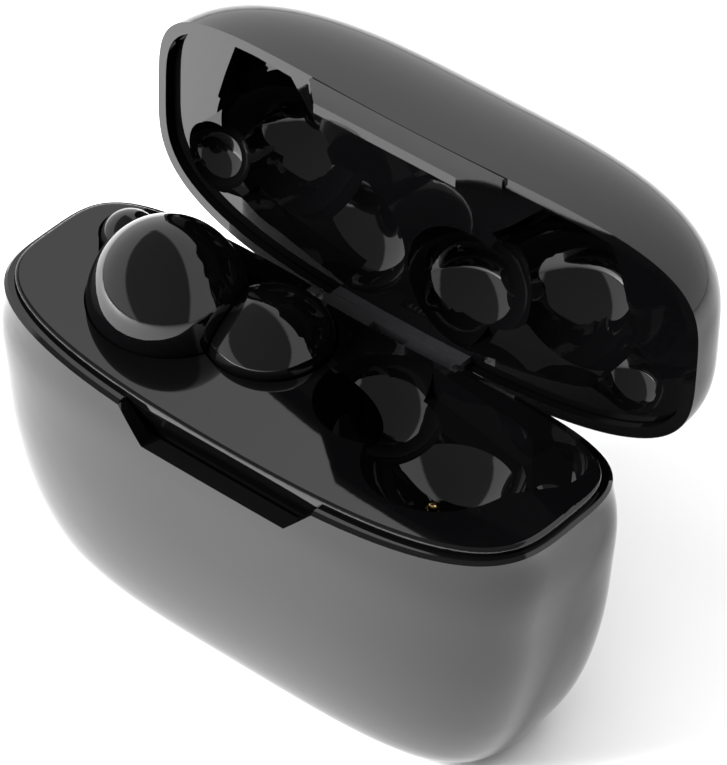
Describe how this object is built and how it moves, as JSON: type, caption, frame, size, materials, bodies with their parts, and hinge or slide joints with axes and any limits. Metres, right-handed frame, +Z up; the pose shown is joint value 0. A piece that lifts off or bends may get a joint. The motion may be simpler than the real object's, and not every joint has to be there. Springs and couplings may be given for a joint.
{
  "type": "wireless earbuds case",
  "caption": "Glossy pebble-shaped charging case for wireless earbuds, with a hinged lid, shaped sockets, finger notch and a seated earbud.",
  "frame": {"origin": "centre of the flat rest face under the lower half", "axes": "+X along the case's length, +Y to the rear where the hinge is, +Z up"},
  "size_m": [0.0661, 0.0419, 0.0522],
  "materials": {
    "gloss_black": "polished",
    "matte_black": "fine texture",
    "steel": "satin",
    "gold_contact": "plated",
    "magnet": "nickel plated",
    "board": "solder mask",
    "cell_wrap": "film wrap",
    "foam": "closed-cell foam",
    "silicone": "smooth silicone",
    "light": "frosted"
  },
  "bodies": {
    "base": {"base_shell": "gloss_black", "cradle_deck": "gloss_black", "hinge_ears": "steel", "hinge_pin": "steel", "hinge_spring": "steel", "board_screws": "steel", "charging_board": "board", "battery_cell": "cell_wrap", "battery_pad": "foam", "charge_chip": "matte_black", "control_chip": "matte_black", "power_inductor": "matte_black", "tact_switch": "matte_black", "status_led": "light", "hall_sensor": "matte_black", "sensor_flex": "board", "cell_tabs": "steel", "usb_c_shroud": "steel", "usb_c_tongue": "matte_black", "light_guide": "light", "pogo_holder_left": "matte_black", "pogo_barrels_left": "gold_contact", "pogo_plunger_left_1": "gold_contact", "pogo_plunger_left_2": "gold_contact", "pogo_holder_right": "matte_black", "pogo_barrels_right": "gold_contact", "base_magnets": "magnet", "earbud_hold_magnets": "magnet", "earbud_cover": "gloss_black", "earbud_base": "gloss_black", "earbud_lobe": "gloss_black", "earbud_stem": "gloss_black", "sound_tube": "matte_black", "ear_tip": "silicone", "earbud_driver": "steel", "earbud_cell": "cell_wrap", "earbud_contacts": "gold_contact"},
    "lid": {"lid_shell": "gloss_black", "lid_liner": "gloss_black", "lid_hinge_block": "matte_black", "lid_hinge_screws": "steel", "lid_magnets": "magnet"},
    "pairing_button": {"pairing_button": "gloss_black"},
    "pogo_right_1": {"pogo_plunger_right_1": "gold_contact"},
    "pogo_right_2": {"pogo_plunger_right_2": "gold_contact"}
  },
  "joints": [
    {"name": "lid_hinge", "type": "hinge", "parent": "base", "child": "lid", "pos_m": [0, 0.0118, 0.0275], "axis": [1, 0, 0], "range_deg": [0, 92.5]},
    {"name": "pairing_button_press", "type": "slide", "parent": "base", "child": "pairing_button", "axis": [0, -1, 0], "range_m": [0, 0.0003], "stiffness_N_per_m": 1500},
    {"name": "pogo_pin_1_press", "type": "slide", "parent": "base", "child": "pogo_right_1", "axis": [0, 0, -1], "range_m": [0, 0.0005], "stiffness_N_per_m": 300},
    {"name": "pogo_pin_2_press", "type": "slide", "parent": "base", "child": "pogo_right_2", "axis": [0, 0, -1], "range_m": [0, 0.0005], "stiffness_N_per_m": 300}
  ]
}
